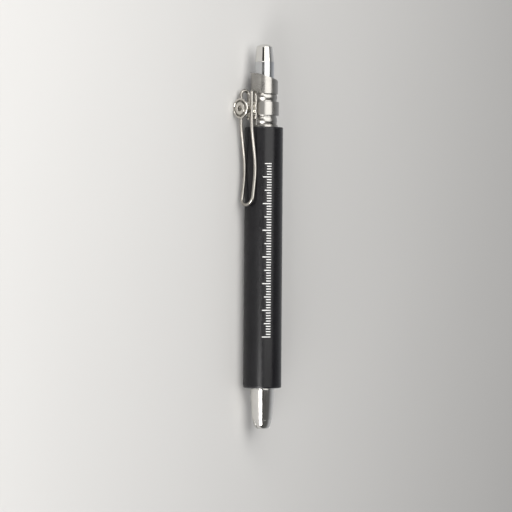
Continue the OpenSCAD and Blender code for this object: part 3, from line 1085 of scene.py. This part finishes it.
VIEW_ANGLE = math.radians(150.8)
VIEW = Vector((math.cos(VIEW_ANGLE), 0, math.sin(VIEW_ANGLE)))
VIEW_RIGHT = Vector((math.sin(VIEW_ANGLE), 0, -math.cos(VIEW_ANGLE)))


def make_floor():
    """Plain pale floor under the holder."""
    size = 3.0
    corners = [(-size, -size, 0), (size, -size, 0), (size, size, 0), (-size, size, 0)]
    mesh = bpy.data.meshes.new("floor")
    mesh.from_pydata(corners, [], [(0, 1, 2, 3)])
    floor = bpy.data.objects.new("floor", mesh)
    bpy.context.scene.collection.objects.link(floor)
    material, tree, shader = blank_material("pale_floor", 0.0)
    spot = node(tree, "ShaderNodeTexCoord")
    patch = noise(tree, spot.outputs["Object"], detail=2.0, roughness=0.55, scale=6.0)
    colour = mixed(tree, patch, (0.57, 0.565, 0.556), (0.60, 0.594, 0.585))
    tree.links.new(colour, shader.inputs["Base Color"])
    shader.inputs["Roughness"].default_value = 0.8
    floor.data.materials.append(material)


def softbox(name, around, along, distance, width, length, radiance, tint):
    """An area light that faces the holder. around is its angle above the +X horizon, seen along
    the holder, and along is how far it stands toward the holder's upper end, both in degrees."""
    around, along = math.radians(around), math.radians(along)
    away = Vector((
        math.cos(along) * math.cos(around),
        math.sin(along),
        math.cos(along) * math.sin(around),
    ))
    long_way = (ALONG - away * ALONG.dot(away)).normalized()
    light = bpy.data.lights.new(name, "AREA")
    light.shape = "RECTANGLE"
    light.size = width
    light.size_y = length
    light.energy = radiance * math.pi * width * length
    light.color = tint
    lamp = bpy.data.objects.new(name, light)
    lamp.location = away * distance
    axes = Matrix((long_way.cross(away), long_way, away)).transposed()
    lamp.rotation_mode = "QUATERNION"
    lamp.rotation_quaternion = axes.to_quaternion()
    bpy.context.scene.collection.objects.link(lamp)


def make_world():
    """Dim grey surroundings, lighter on the side away from the camera."""
    world = bpy.data.worlds.new("studio")
    bpy.context.scene.world = world
    world.use_nodes = True
    tree = world.node_tree
    back = tree.nodes["Background"]
    spot = node(tree, "ShaderNodeTexCoord")
    toward = node(tree, "ShaderNodeVectorMath", {"operation": "DOT_PRODUCT"}, {
        0: spot.outputs["Generated"], 1: (1, 0, 0)})
    ramp = node(tree, "ShaderNodeValToRGB", None, {
        0: span(tree, toward.outputs["Value"], -1, 1, 0, 1)})
    stops = ramp.color_ramp
    stops.elements[0].color = (0.080, 0.075, 0.070, 1)
    stops.elements[1].color = (0.62, 0.63, 0.65, 1)
    middle = stops.elements.new(0.60)
    middle.color = (0.12, 0.12, 0.12, 1)
    tree.links.new(ramp.outputs[0], back.inputs["Color"])


def make_lights():
    """Two near lights draw the long highlights; the third one lights the head."""
    softbox("overhead_softbox", around=117, along=24, distance=0.52,
            width=0.56, length=0.62, radiance=3.0, tint=(1.0, 0.99, 0.97))
    softbox("low_softbox", around=166, along=-25.5, distance=0.7,
            width=0.27, length=0.42, radiance=15.0, tint=(1.0, 0.99, 0.98))
    softbox("head_softbox", around=160, along=46, distance=1.6,
            width=0.9, length=0.6, radiance=3.0, tint=(1.0, 0.99, 0.98))


def make_camera():
    """A far camera at the photograph's angle, aimed a little off the holder's middle."""
    distance = 1.2
    frame_height = 0.193
    sensor = 36
    right_shift, up_shift = 2.72, 7.35
    camera = bpy.data.cameras.new("camera")
    camera.sensor_width = sensor
    camera.lens = sensor * distance / frame_height
    camera.clip_start = 0.01
    eye = bpy.data.objects.new("camera", camera)
    bpy.context.scene.collection.objects.link(eye)
    bpy.context.scene.camera = eye
    roll = math.radians(0.41)
    up = ALONG * math.cos(roll) - VIEW_RIGHT * math.sin(roll)
    right = up.cross(VIEW)
    middle = place(0, 0, CAP_TOP_Z / 2)
    target = middle - right * right_shift * MM - up * up_shift * MM
    eye.rotation_mode = "QUATERNION"
    eye.rotation_quaternion = Matrix((right, up, VIEW)).transposed().to_quaternion()
    eye.location = target + VIEW * distance


make_barrel()
make_scale_marks()
make_nose_cone()
for jaw in (1, 2, 3):
    make_jaw(jaw, 120 * jaw - 60)
make_collar()
make_saddle()
make_washer()
make_stud()
make_clip()
make_tube()
make_cap()
make_spring()
dress_cad_nodes()
make_floor()
make_world()
make_lights()
make_camera()
bpy.context.scene.view_settings.view_transform = "Standard"
